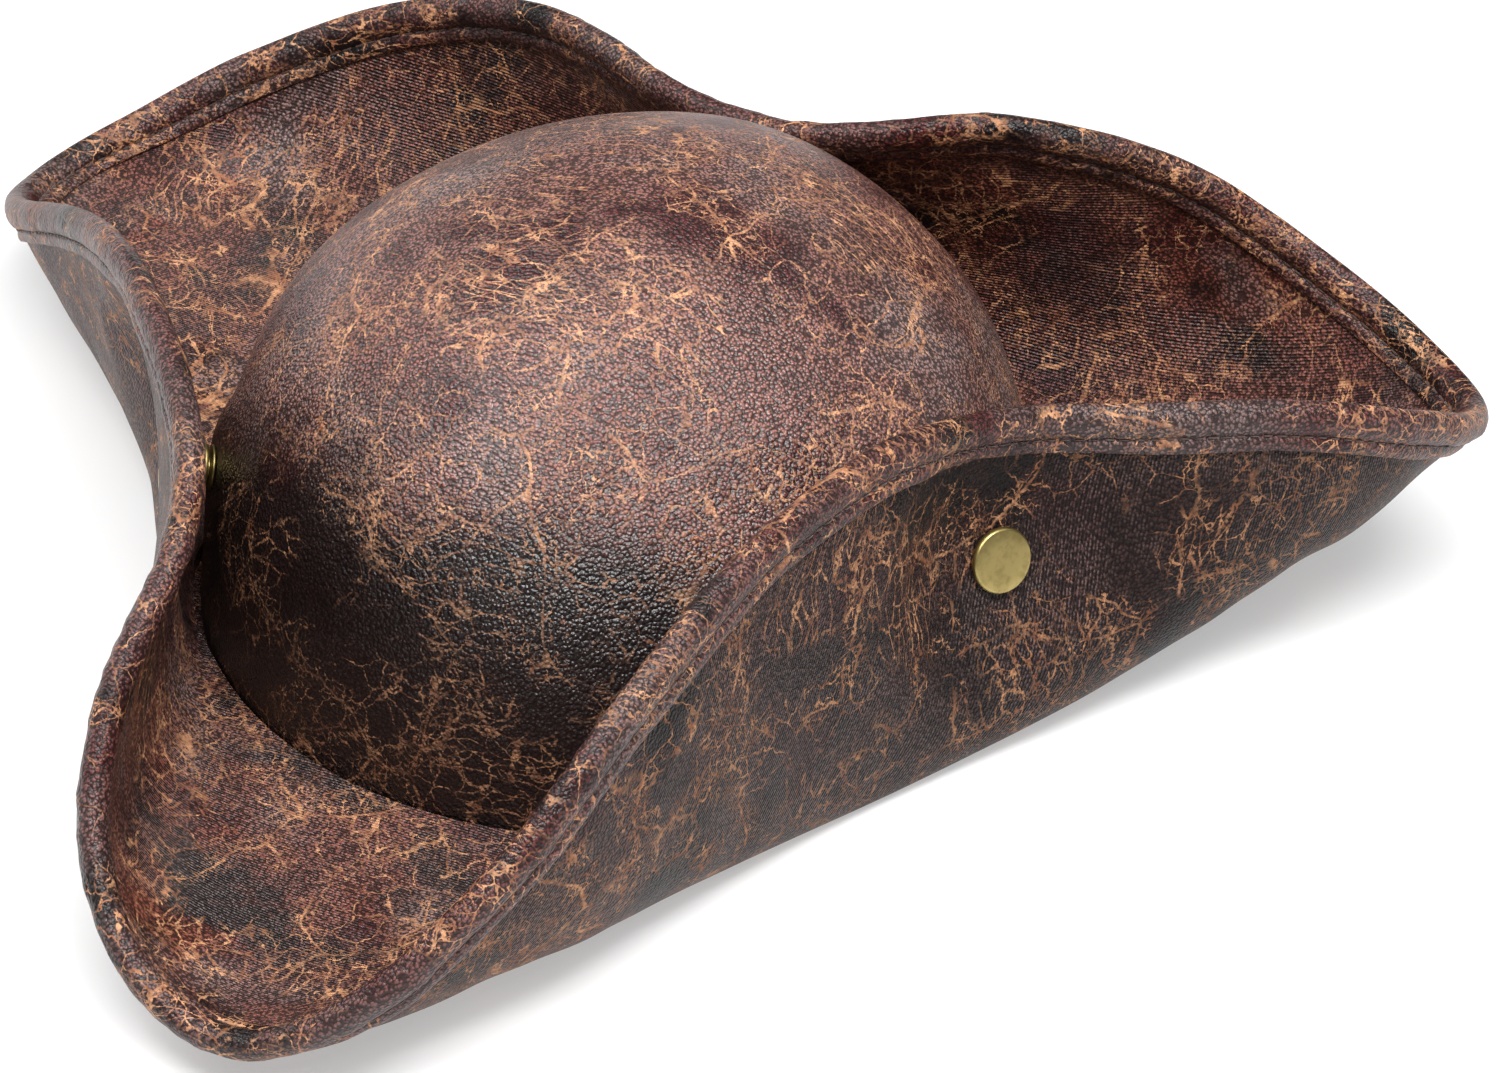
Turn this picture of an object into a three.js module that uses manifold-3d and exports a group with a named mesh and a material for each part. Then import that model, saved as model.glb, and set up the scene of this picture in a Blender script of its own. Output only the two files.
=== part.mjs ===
// Tricorn hat in distressed faux leather: a soft moulded crown, a wide brim folded up on three
// sides, and three snap fasteners that hold the folds against the crown.
// Millimetres, +Z up. The front peak points to -Y, and the wearer's left side is +X.
// The brim is made as a base ring with its three peaks, and three flaps that fold about hinge
// lines; each region has a top skin, an interlining and an under skin.
import * as THREE from 'three';
import Module from 'manifold-3d';

const wasm = await Module();
wasm.setup();

// ---- Driving dimensions -----------------------------------------------------------------------
const CROWN_HALF_WIDTH = 92;
const CROWN_HALF_LENGTH = 104;
const CROWN_HEIGHT = 103;
const CROWN_POWER = 2.7; // 2 is an ellipsoid; higher is a fuller, boxier dome
const BASE_Z = 2; // height of the crown and brim junction above the design plane

// The crease line and the rim around the brim, one station every 20 degrees from the front peak
// towards +X: rim x, y, z, then crease x, y, z.
const STATIONS = [
  [-1, -205, 12, 0, -184, 0],
  [44, -184, 44, 48, -160, 0],
  [61, -130, 79, 74, -108, 0],
  [78, -61, 90, 90, -56, 0],
  [107, -4, 78, 122, -12, 0],
  [155, 38, 69, 146, 35, 5],
  [169, 92, 45, 147, 89, 19],
  [117, 121, 57, 109, 120, 4],
  [60, 98, 84, 49, 129, 0],
  [-3, 84, 75, -4, 135, 0],
  [-68, 110, 72, -62, 131, 0],
  [-131, 113, 49, -116, 117, 4],
  [-178, 70, 21, -160, 85, 12],
  [-157, 17, 43, -160, 30, 3],
  [-119, -28, 74, -122, -10, 0],
  [-84, -74, 90, -88, -52, 0],
  [-50, -124, 80, -76, -108, 0],
  [-43, -179, 42, -52, -160, 0],
];

const SKIN = 0.9; // faux leather on its knit backing
const CORE = 1.3; // brim interlining
const LAYER_GAP = 0.3;
const HALF_BRIM = CORE / 2 + LAYER_GAP + SKIN;
const CROWN_SHELL = 0.9;
const CROWN_CORE = 1.4;
const CROWN_LINING = 0.6;
const SWEATBAND = 1.0;
const SWEATBAND_HEIGHT = 28;

const BINDING_DEPTH = 7;
const BINDING_WALL = 0.8;
const WIRE_RADIUS = 0.8;
const WIRE_OUT = 1.7; // wire centre beyond the raw edge of the brim

const FLAP_GAP = 0.8; // degrees of rim left open between a flap and its neighbour
const CREASE_GAP = 0.016; // the same gap along the crease, as a share of the profile

// The three flaps: the stretch of rim that each one takes, in degrees from the front peak.
const FLAPS = [
  { name: 'right', from: 26, to: 108 },
  { name: 'back', from: 132, to: 228 },
  { name: 'left', from: 252, to: 334 },
];
// The three peaks between the flaps, which stay with the base.
const PEAKS = [
  { name: 'tip_right', from: 108, to: 132 },
  { name: 'tip_left', from: 228, to: 252 },
  { name: 'front', from: 334, to: 386 },
];

// Snap seats: the point where the snap's axis crosses the brim, and the axis pointing outwards.
const SNAPS = [
  { name: 'right', at: [94, -18.5, 48], azimuth: 54, rise: 18 },
  { name: 'back', at: [-3, 106.5, 44], azimuth: 178, rise: 22 },
  { name: 'left', at: [-84.5, -54, 38], azimuth: -60, rise: 8 },
];
const SNAP_REACH = 7.3; // brim mid-surface to the crown's outer face, along the snap's axis
const BRIM_SEAT = [10, 44]; // flat radius, and the radius where the fold is its own shape again
const CROWN_SEAT = [7, 20];

// Moves the origin to the middle of the bounding box, at the lowest point.
const ORIGIN = new THREE.Vector3(3.34, 42.99, -0.15);

// ---- Materials --------------------------------------------------------------------------------
const leather = new THREE.MeshStandardMaterial({ color: 0x4a2d26, roughness: 0.55, metalness: 0 });
const binding = new THREE.MeshStandardMaterial({ color: 0x553630, roughness: 0.5, metalness: 0 });
const underside = new THREE.MeshStandardMaterial({ color: 0x452a24, roughness: 0.58, metalness: 0 });
const felt = new THREE.MeshStandardMaterial({ color: 0xb9b2a6, roughness: 0.95, metalness: 0 });
const cloth = new THREE.MeshStandardMaterial({ color: 0x17130f, roughness: 0.85, metalness: 0 });
const band = new THREE.MeshStandardMaterial({ color: 0x2a1c17, roughness: 0.6, metalness: 0 });
const brass = new THREE.MeshStandardMaterial({ color: 0x9a8350, roughness: 0.32, metalness: 1 });
const steel = new THREE.MeshStandardMaterial({ color: 0x8b8d90, roughness: 0.4, metalness: 1 });

const hat = new THREE.Group();
hat.position.copy(ORIGIN);

// ---- Small vector helpers ---------------------------------------------------------------------
const rad = THREE.MathUtils.degToRad;
const smooth = (t) => {
  const x = THREE.MathUtils.clamp(t, 0, 1);
  return x * x * (3 - 2 * x);
};
const mix = (a, b, t) => a + (b - a) * t;

for (const snap of SNAPS) {
  const a = rad(snap.azimuth);
  const e = rad(snap.rise);
  snap.axis = new THREE.Vector3(Math.sin(a) * Math.cos(e), -Math.cos(a) * Math.cos(e), Math.sin(e));
  snap.seat = new THREE.Vector3(...snap.at);
  snap.foot = snap.seat.clone().addScaledVector(snap.axis, -SNAP_REACH);
}

// Presses a surface point towards the plane of a snap's seat, fully inside radii[0], not at all
// beyond radii[1].
function pressed(point, centre, axis, radii) {
  const away = point.clone().sub(centre);
  const height = away.dot(axis);
  const across = away.addScaledVector(axis, -height).length();
  if (Math.abs(height) > 30) return point;
  const weight = 1 - smooth((across - radii[0]) / (radii[1] - radii[0]));
  return point.addScaledVector(axis, -height * weight);
}

// ---- Brim surface -----------------------------------------------------------------------------
// A closed uniform cubic B-spline that passes through the stations.
const CONTROL = STATIONS.map((row) => row.slice());
for (let pass = 0; pass < 60; pass += 1) {
  for (let i = 0; i < STATIONS.length; i += 1) {
    const before = CONTROL[(i + STATIONS.length - 1) % STATIONS.length];
    const after = CONTROL[(i + 1) % STATIONS.length];
    for (let k = 0; k < 6; k += 1) {
      CONTROL[i][k] = (6 * STATIONS[i][k] - before[k] - after[k]) / 4;
    }
  }
}

function station(degrees) {
  const n = STATIONS.length;
  const at = ((((degrees / 360) % 1) + 1) % 1) * n;
  const i = Math.floor(at);
  const t = at - i;
  const weights = [(1 - t) ** 3, 3 * t ** 3 - 6 * t * t + 4, -3 * t ** 3 + 3 * t * t + 3 * t + 1, t ** 3];
  const out = [0, 0, 0, 0, 0, 0];
  weights.forEach((weight, k) => {
    const row = CONTROL[(i + k + n - 1) % n];
    for (let j = 0; j < 6; j += 1) out[j] += (weight * row[j]) / 6;
  });
  return { rim: new THREE.Vector3(...out.slice(0, 3)), crease: new THREE.Vector3(...out.slice(3)) };
}

function ellipse(degrees, grow, z) {
  const a = rad(degrees);
  const point = new THREE.Vector3(CROWN_HALF_WIDTH * Math.sin(a), -CROWN_HALF_LENGTH * Math.cos(a), 0);
  const normal = new THREE.Vector3(Math.sin(a) / CROWN_HALF_WIDTH, -Math.cos(a) / CROWN_HALF_LENGTH, 0);
  return point.addScaledVector(normal.normalize(), grow).setZ(z);
}

// Brim mid-surface: a parabolic profile from the crown's foot (share 0) by way of the crease to
// the rim (share 1), pressed flat at the snap seats.
function brimPoint(degrees, share) {
  const { rim, crease } = station(degrees);
  const point = ellipse(degrees, 0.4, BASE_Z)
    .multiplyScalar((1 - share) ** 2)
    .addScaledVector(crease, 2 * share * (1 - share))
    .addScaledVector(rim, share * share);
  for (const snap of SNAPS) pressed(point, snap.seat, snap.axis, BRIM_SEAT);
  return point;
}

function brimNormal(degrees, share) {
  const s = THREE.MathUtils.clamp(share, 0.001, 0.999);
  const across = brimPoint(degrees, s + 0.001).sub(brimPoint(degrees, s - 0.001));
  const along = brimPoint(degrees + 0.2, s).sub(brimPoint(degrees - 0.2, s));
  return across.cross(along).normalize();
}

function brimOffset(degrees, share, height) {
  return brimPoint(degrees, share).addScaledVector(brimNormal(degrees, share), height);
}

// Share of the profile where it has turned half-way up.
function creaseShare(degrees) {
  const { rim, crease } = station(degrees);
  const inner = crease.distanceTo(ellipse(degrees, 0, BASE_Z));
  const outer = rim.distanceTo(crease);
  return THREE.MathUtils.clamp(inner / (inner + outer), 0.12, 0.8);
}

// ---- Closed solids from grids -----------------------------------------------------------------
const COLUMN_STEP = 7.5;
const FLAP_ROWS = 5;

// Lines around the brim, closer at the snap seats, with an extra pair at each flap's end.
const SNAP_DEGREES = [75, 180, 300];
const COLUMNS = SNAP_DEGREES.flatMap((d) => [d - COLUMN_STEP / 2, d + COLUMN_STEP / 2]);
for (let d = 0; d < 360; d += COLUMN_STEP) COLUMNS.push(d);
for (const flap of FLAPS) {
  for (const end of [flap.from, flap.to]) {
    COLUMNS.push(end - FLAP_GAP / 2, end + FLAP_GAP / 2);
  }
}
COLUMNS.sort((a, b) => a - b);
for (let i = COLUMNS.length - 1; i > 0; i -= 1) {
  const isEnd = (d) => FLAPS.some((f) => Math.abs(d - f.from) < 1 || Math.abs(d - f.to) < 1);
  const close = COLUMNS[i] - COLUMNS[i - 1] < 2;
  if (close && !(isEnd(COLUMNS[i]) && isEnd(COLUMNS[i - 1]))) {
    COLUMNS.splice(isEnd(COLUMNS[i]) ? i - 1 : i, 1);
  }
}

// Share of the profile where the edge binding's faces end.
function bindingShare(degrees) {
  const length = brimPoint(degrees, 0.98).distanceTo(brimPoint(degrees, 1)) / 0.02;
  return 1 - BINDING_DEPTH / length;
}

// Lines across the brim: two rows to the crease, the gap row, the flap rows, and one row more
// under the binding.
function rowShare(degrees, row) {
  const crease = creaseShare(degrees);
  if (row === 0) return 0;
  if (row === 1) return crease * 0.55;
  if (row === 2) return crease - CREASE_GAP / 2;
  if (row === 3 + FLAP_ROWS) return 1;
  const t = (row - 3) / (FLAP_ROWS - 1);
  return mix(crease + CREASE_GAP / 2, bindingShare(degrees), t);
}
const ROWS = 3 + FLAP_ROWS;

const middle = (column) => {
  const next = COLUMNS[(column + 1) % COLUMNS.length] + (column + 1 === COLUMNS.length ? 360 : 0);
  return (COLUMNS[column] + next) / 2;
};
const within = (degrees, region) => {
  const d = degrees < region.from && region.to > 360 ? degrees + 360 : degrees;
  return d > region.from + FLAP_GAP / 2 && d < region.to - FLAP_GAP / 2;
};

// Builds the closed solid between an upper and a lower grid, over the cells that keep() names.
// Columns run round the hat; rows from the crown outwards.
function cellSolid(columns, rows, closed, upper, lower, keep) {
  const vertices = [];
  const index = new Map();
  const faces = [];
  const vertex = (side, i, j) => {
    const key = `${side},${i % columns},${j}`;
    if (!index.has(key)) {
      const p = (side ? upper : lower)(i % columns, j);
      index.set(key, vertices.length / 3);
      vertices.push(p.x, p.y, p.z);
    }
    return index.get(key);
  };
  const quad = (a, b, c, d) => faces.push(a, b, c, a, c, d);
  const last = closed ? columns : columns - 1;
  const has = (i, j) => {
    if (j < 0 || j >= rows - 1) return false;
    if (!closed && (i < 0 || i >= last)) return false;
    return keep((i + columns) % columns, j);
  };
  for (let i = 0; i < last; i += 1) {
    for (let j = 0; j < rows - 1; j += 1) {
      if (!has(i, j)) continue;
      quad(vertex(1, i, j), vertex(1, i, j + 1), vertex(1, i + 1, j + 1), vertex(1, i + 1, j));
      quad(vertex(0, i, j), vertex(0, i + 1, j), vertex(0, i + 1, j + 1), vertex(0, i, j + 1));
      const wall = (i0, j0, i1, j1) => {
        quad(vertex(1, i0, j0), vertex(0, i0, j0), vertex(0, i1, j1), vertex(1, i1, j1));
      };
      if (!has(i, j - 1)) wall(i + 1, j, i, j);
      if (!has(i, j + 1)) wall(i, j + 1, i + 1, j + 1);
      if (!has(i - 1, j)) wall(i, j, i, j + 1);
      if (!has(i + 1, j)) wall(i + 1, j + 1, i + 1, j);
    }
  }
  return outward({ vertices, faces });
}

// Turns a solid's faces so that they point out.
function outward(solid) {
  const { vertices: v, faces: f } = solid;
  let volume = 0;
  for (let k = 0; k < f.length; k += 3) {
    const [a, b, c] = [f[k] * 3, f[k + 1] * 3, f[k + 2] * 3];
    volume += v[a] * (v[b + 1] * v[c + 2] - v[b + 2] * v[c + 1]);
    volume += v[a + 1] * (v[b + 2] * v[c] - v[b] * v[c + 2]);
    volume += v[a + 2] * (v[b] * v[c + 1] - v[b + 1] * v[c]);
  }
  if (volume < 0) {
    for (let k = 0; k < f.length; k += 3) [f[k + 1], f[k + 2]] = [f[k + 2], f[k + 1]];
  }
  return solid;
}

// Sweeps a ring of section points along the brim, with flat ends: caps is the section's
// triangles. The strip named crossed takes the other diagonal, to lie along the skin below it.
function sweepSolid(rings, caps, crossed) {
  const vertices = [];
  const faces = [];
  const sides = rings[0].length;
  for (const ring of rings) for (const p of ring) vertices.push(p.x, p.y, p.z);
  const at = (i, k) => i * sides + (k % sides);
  for (let i = 0; i < rings.length - 1; i += 1) {
    for (let k = 0; k < sides; k += 1) {
      const [a, b, c, d] = [at(i, k), at(i + 1, k), at(i + 1, k + 1), at(i, k + 1)];
      faces.push(...(k === crossed ? [a, b, d, b, c, d] : [a, b, c, a, c, d]));
    }
  }
  const start = (rings.length - 1) * sides;
  for (const [a, b, c] of caps) {
    faces.push(a, b, c);
    faces.push(start + a, start + c, start + b);
  }
  return outward({ vertices, faces });
}

// ---- Manifold helpers -------------------------------------------------------------------------
function toManifold(solid) {
  return new wasm.Manifold(new wasm.Mesh({
    numProp: 3,
    vertProperties: new Float32Array(solid.vertices),
    triVerts: new Uint32Array(solid.faces),
  }));
}

function fromManifold(manifold) {
  const { vertProperties, triVerts } = manifold.getMesh();
  return { vertices: Array.from(vertProperties), faces: Array.from(triVerts) };
}

// A round cutter along a snap's axis, from one distance to another measured outwards from point.
function drill(point, axis, radius, from, to) {
  const sides = 12;
  const turn = new THREE.Quaternion().setFromUnitVectors(new THREE.Vector3(0, 0, 1), axis);
  const rings = [from, to].map((height) => {
    const ring = [];
    for (let k = 0; k < sides; k += 1) {
      const a = (k / sides) * 2 * Math.PI;
      const p = new THREE.Vector3(radius * Math.cos(a), radius * Math.sin(a), height);
      ring.push(p.applyQuaternion(turn).add(point));
    }
    return ring;
  });
  const caps = [];
  for (let k = 1; k < sides - 1; k += 1) caps.push([0, k, k + 1]);
  return toManifold(sweepSolid(rings, caps));
}

function drilled(solid, holes) {
  let manifold = toManifold(solid);
  for (const hole of holes) manifold = manifold.subtract(hole);
  return fromManifold(manifold);
}

function add(name, solid, material) {
  const geometry = new THREE.BufferGeometry();
  geometry.setAttribute('position', new THREE.Float32BufferAttribute(solid.vertices, 3));
  geometry.setIndex(solid.faces);
  geometry.computeVertexNormals();
  const mesh = new THREE.Mesh(geometry, material);
  mesh.name = name;
  hat.add(mesh);
  return mesh;
}

// ---- Brim layers ------------------------------------------------------------------------------
const LAYERS = [
  { name: 'top_skin', low: CORE / 2 + LAYER_GAP, high: HALF_BRIM, material: leather },
  { name: 'interlining', low: -CORE / 2, high: CORE / 2, material: felt },
  { name: 'under_skin', low: -HALF_BRIM, high: -CORE / 2 - LAYER_GAP, material: underside },
];
const FLANGE = [-4.9, -1.2]; // under skin's flat ring below the crown wall, from the crown's face

const inAnyPeak = (column) => PEAKS.some((peak) => within(middle(column), peak));
const SNAP_HOLE = 2.4;
const CAP_RECESS = 7.9;
const SOCKET_RECESS = 6.2;

for (const layer of LAYERS) {
  // The base ring, with the three peaks; the under skin also reaches in below the crown wall.
  const inner = layer.name === 'under_skin' ? FLANGE.length : 0;
  const place = (height) => (i, j) => {
    if (j < inner) return ellipse(COLUMNS[i], FLANGE[j], BASE_Z + height);
    if (j === inner) return ellipse(COLUMNS[i], 0.4, BASE_Z + height);
    return brimOffset(COLUMNS[i], rowShare(COLUMNS[i], j - inner), height);
  };
  const base = cellSolid(
    COLUMNS.length,
    ROWS + 1 + inner,
    true,
    place(layer.high),
    place(layer.low),
    (i, j) => j - inner < 2 || inAnyPeak(i),
  );
  add(`brim_base_${layer.name}`, base, layer.material);

  for (const flap of FLAPS) {
    const snap = SNAPS.find((s) => s.name === flap.name);
    const grid = (height) => (i, j) => brimOffset(COLUMNS[i], rowShare(COLUMNS[i], j), height);
    const solid = cellSolid(
      COLUMNS.length,
      ROWS + 1,
      true,
      grid(layer.high),
      grid(layer.low),
      (i, j) => j >= 3 && within(middle(i), flap),
    );
    const cuts = [
      drill(snap.seat, snap.axis, SNAP_HOLE, -6, 6),
      drill(snap.seat, snap.axis, CAP_RECESS, HALF_BRIM, HALF_BRIM + 6),
      drill(snap.seat, snap.axis, SOCKET_RECESS, -HALF_BRIM - 6, -HALF_BRIM),
    ];
    add(`flap_${flap.name}_${layer.name}`, drilled(solid, cuts), layer.material);
  }
}

// ---- Edge binding and wire --------------------------------------------------------------------
// A frame on the rim: out is along the brim's surface, away from the crown; up is its normal.
function rimFrame(degrees) {
  const along = brimPoint(degrees + 0.2, 1).sub(brimPoint(degrees - 0.2, 1)).normalize();
  const up = brimNormal(degrees, 1);
  const out = new THREE.Vector3().crossVectors(along, up).normalize();
  const inward = brimPoint(degrees, 0.98).sub(brimPoint(degrees, 1));
  if (out.dot(inward) > 0) out.negate();
  return { at: brimPoint(degrees, 1), out, up, depthShare: bindingShare(degrees) };
}

const FACE_IN = HALF_BRIM + LAYER_GAP;
const FACE_OUT = FACE_IN + BINDING_WALL;
const NOSE_OUT = 4.3; // how far the binding's nose reaches beyond the raw edge, outside and inside
const NOSE_IN = 3.3;
const SHOULDER = 2.6;

function bindingSection(degrees) {
  const { at, out, up, depthShare } = rimFrame(degrees);
  const edge = (o, u) => at.clone().addScaledVector(out, o).addScaledVector(up, u);
  return [
    brimOffset(degrees, depthShare, FACE_OUT),
    edge(0, FACE_OUT),
    edge(SHOULDER, FACE_OUT * 0.92),
    edge(NOSE_OUT, 1.2),
    edge(NOSE_OUT, -1.2),
    edge(SHOULDER, -FACE_OUT * 0.92),
    edge(0, -FACE_OUT),
    brimOffset(degrees, depthShare, -FACE_OUT),
    brimOffset(degrees, depthShare, -FACE_IN),
    edge(0, -FACE_IN),
    edge(NOSE_IN, -1.6),
    edge(NOSE_IN, 1.6),
    edge(0, FACE_IN),
    brimOffset(degrees, depthShare, FACE_IN),
  ];
}
const BINDING_CAPS = [
  [0, 1, 13], [1, 12, 13], [1, 2, 12], [2, 11, 12], [2, 3, 11], [3, 4, 11], [4, 10, 11],
  [4, 5, 10], [5, 9, 10], [5, 6, 9], [6, 8, 9], [6, 7, 8],
];

function wireSection(degrees) {
  const { at, out, up } = rimFrame(degrees);
  const ring = [];
  for (let k = 0; k < 6; k += 1) {
    const a = (k / 6) * 2 * Math.PI;
    const p = at.clone().addScaledVector(out, WIRE_OUT + WIRE_RADIUS * Math.cos(a));
    ring.push(p.addScaledVector(up, WIRE_RADIUS * Math.sin(a)));
  }
  return ring;
}
const WIRE_CAPS = [[0, 1, 2], [0, 2, 3], [0, 3, 4], [0, 4, 5]];

const REGIONS = [
  ...PEAKS.map((peak) => ({ ...peak, suffix: peak.name })),
  ...FLAPS.map((flap) => ({ ...flap, suffix: `flap_${flap.name}` })),
];
for (const region of REGIONS) {
  const around = [];
  for (const d of [...COLUMNS, ...COLUMNS.map((x) => x + 360)]) {
    if (d > region.from && d < region.to) around.push(d);
  }
  add(`edge_binding_${region.suffix}`, sweepSolid(around.map(bindingSection), BINDING_CAPS, 12), binding);
  add(`edge_wire_${region.suffix}`, sweepSolid(around.map(wireSection), WIRE_CAPS), steel);
}

// ---- Crown ------------------------------------------------------------------------------------
const CROWN_COLUMNS = 32;
const CROWN_ROWS = 7;

// Crown surface: angle round the head, and climb from the foot (0) to the top (1).
function crownPoint(degrees, climb) {
  const a = rad(degrees);
  const turn = (climb * Math.PI) / 2;
  const point = new THREE.Vector3(
    CROWN_HALF_WIDTH * Math.cos(turn) * Math.sin(a),
    -CROWN_HALF_LENGTH * Math.cos(turn) * Math.cos(a),
    BASE_Z + CROWN_HEIGHT * Math.sin(turn) ** (2 / CROWN_POWER),
  );
  for (const snap of SNAPS) pressed(point, snap.foot, snap.axis, CROWN_SEAT);
  return point;
}

function crownNormal(degrees, climb) {
  const c = THREE.MathUtils.clamp(climb, 0.01, 0.99);
  const up = crownPoint(degrees, c + 0.005).sub(crownPoint(degrees, c - 0.005));
  const along = crownPoint(degrees + 0.5, c).sub(crownPoint(degrees - 0.5, c));
  return along.cross(up).normalize();
}

function crownInset(degrees, climb, depth) {
  if (climb > 0.999) return new THREE.Vector3(0, 0, BASE_Z + CROWN_HEIGHT - depth);
  return crownPoint(degrees, climb).addScaledVector(crownNormal(degrees, climb), -depth);
}

// A dome shell between two depths below the crown's outer face; its foot ends at footZ.
function domeShell(near, far, footZ) {
  const vertices = [];
  const faces = [];
  const put = (p) => {
    vertices.push(p.x, p.y, p.z);
    return vertices.length / 3 - 1;
  };
  const skins = [near, far].map((depth) => {
    const rings = [];
    for (let j = 0; j <= CROWN_ROWS; j += 1) {
      const ring = [];
      const climb = j === 0 ? 0 : (j - 0.35) / (CROWN_ROWS + 0.65);
      for (let i = 0; i < CROWN_COLUMNS; i += 1) {
        const d = (i / CROWN_COLUMNS) * 360;
        ring.push(put(j === 0 ? ellipse(d, -depth, footZ) : crownInset(d, climb, depth)));
      }
      rings.push(ring);
    }
    return { rings, pole: put(crownInset(0, 1, depth)) };
  });
  const n = CROWN_COLUMNS;
  skins.forEach(({ rings, pole }, side) => {
    const tri = (a, b, c) => faces.push(...(side === 0 ? [a, b, c] : [a, c, b]));
    for (let i = 0; i < n; i += 1) {
      const k = (i + 1) % n;
      for (let j = 0; j < CROWN_ROWS; j += 1) {
        tri(rings[j][i], rings[j][k], rings[j + 1][k]);
        tri(rings[j][i], rings[j + 1][k], rings[j + 1][i]);
      }
      tri(rings[CROWN_ROWS][i], rings[CROWN_ROWS][k], pole);
    }
  });
  const [outer, inner] = [skins[0].rings[0], skins[1].rings[0]];
  for (let i = 0; i < n; i += 1) {
    const k = (i + 1) % n;
    faces.push(outer[i], inner[k], outer[k], outer[i], inner[i], inner[k]);
  }
  return outward({ vertices, faces });
}

const FOOT_Z = BASE_Z - CORE / 2; // the crown wall stands a gap above the under skin
const coreDepth = CROWN_SHELL + LAYER_GAP;
const liningDepth = coreDepth + CROWN_CORE + LAYER_GAP;
const bandDepth = liningDepth + CROWN_LINING + LAYER_GAP;
const CROWN_WALL = bandDepth - LAYER_GAP;
const CROWN_HOLE = 2.0;
const FLANGE_RECESS = 5.6;
// Each snap's post hole, with a flat recess for the stud outside and the post's head inside.
const crownCuts = () => SNAPS.flatMap((s) => [
  drill(s.foot, s.axis, CROWN_HOLE, -9, 4),
  drill(s.foot, s.axis, FLANGE_RECESS, 0, 9),
  drill(s.foot, s.axis, FLANGE_RECESS, -CROWN_WALL - 9, -CROWN_WALL),
]);

add('crown_shell', drilled(domeShell(0, CROWN_SHELL, FOOT_Z), crownCuts()), leather);
add('crown_interlining', drilled(domeShell(coreDepth, coreDepth + CROWN_CORE, FOOT_Z), crownCuts()), felt);
add('crown_lining', drilled(domeShell(liningDepth, liningDepth + CROWN_LINING, FOOT_Z), crownCuts()), cloth);

// The sweatband stands inside the lining, from the brim up.
const bandHeights = [FOOT_Z, FOOT_Z + SWEATBAND_HEIGHT / 2, FOOT_Z + SWEATBAND_HEIGHT];
function bandPoint(i, j, depth) {
  const lean = [0.2, 0.9, 2.8][j];
  return ellipse((i / CROWN_COLUMNS) * 360, -depth - lean, bandHeights[j]);
}
const sweatband = cellSolid(
  CROWN_COLUMNS,
  bandHeights.length,
  true,
  (i, j) => bandPoint(i, j, bandDepth),
  (i, j) => bandPoint(i, j, bandDepth + SWEATBAND),
  () => true,
);
add('sweatband', sweatband, band);

// ---- Snap fasteners ---------------------------------------------------------------------------
// Profiles are [radius, height] along the snap's axis, height 0 on the brim's mid-surface.
const CAP_FOOT = HALF_BRIM + LAYER_GAP;
const SOCKET_TOP = -HALF_BRIM - LAYER_GAP;
const CROWN_FACE = -SNAP_REACH;
const POST_HEAD = CROWN_FACE - CROWN_WALL - LAYER_GAP;

const CAP = [
  [0, CAP_FOOT + 1.9], [6.2, CAP_FOOT + 1.9], [7.2, CAP_FOOT + 1.4], [7.5, CAP_FOOT + 0.7],
  [7.2, CAP_FOOT], [1.9, CAP_FOOT], [1.9, SOCKET_TOP - 1.2], [0, SOCKET_TOP - 1.2],
];
const SOCKET = [
  [2.3, SOCKET_TOP], [5.2, SOCKET_TOP], [5.8, SOCKET_TOP - 0.8], [5.4, SOCKET_TOP - 3.4],
  [3.4, SOCKET_TOP - 3.4], [3.4, SOCKET_TOP - 0.9], [2.3, SOCKET_TOP - 0.9],
];
const STUD = [
  [0, SOCKET_TOP - 1.8], [2.2, SOCKET_TOP - 1.8], [2.8, SOCKET_TOP - 2.4], [2.6, CROWN_FACE + 1.1],
  [5.2, CROWN_FACE + 0.9], [5.2, CROWN_FACE + 0.3], [1.9, CROWN_FACE + 0.3], [1.9, CROWN_FACE + 1.9],
  [0, CROWN_FACE + 1.9],
];
const POST = [
  [0, CROWN_FACE + 1.6], [1.6, CROWN_FACE + 1.6], [1.6, POST_HEAD], [5.0, POST_HEAD],
  [5.0, POST_HEAD - 0.6], [4.2, POST_HEAD - 1.0], [0, POST_HEAD - 1.0],
];
const SNAP_PIECES = [
  { name: 'cap', profile: CAP, material: brass },
  { name: 'socket', profile: SOCKET, material: brass },
  { name: 'stud', profile: STUD, material: brass },
  { name: 'post', profile: POST, material: brass },
];
const SNAP_SIDES = 12;

// Turns a profile about the snap's axis; points on the axis are shared.
function turned(profile, origin, axis) {
  const turn = new THREE.Quaternion().setFromUnitVectors(new THREE.Vector3(0, 0, 1), axis);
  const vertices = [];
  const faces = [];
  const ids = profile.map(([radius, height]) => {
    const ring = [];
    for (let k = 0; k < SNAP_SIDES; k += 1) {
      if (radius === 0 && k > 0) {
        ring.push(ring[0]);
        continue;
      }
      const a = (k / SNAP_SIDES) * 2 * Math.PI;
      const p = new THREE.Vector3(radius * Math.cos(a), radius * Math.sin(a), height);
      p.applyQuaternion(turn).add(origin);
      ring.push(vertices.length / 3);
      vertices.push(p.x, p.y, p.z);
    }
    return ring;
  });
  for (let j = 0; j < ids.length; j += 1) {
    const [a, b] = [ids[j], ids[(j + 1) % ids.length]];
    for (let k = 0; k < SNAP_SIDES; k += 1) {
      const m = (k + 1) % SNAP_SIDES;
      if (a[k] !== a[m]) faces.push(a[k], b[m], a[m]);
      if (b[k] !== b[m]) faces.push(a[k], b[k], b[m]);
    }
  }
  return outward({ vertices, faces });
}

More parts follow.
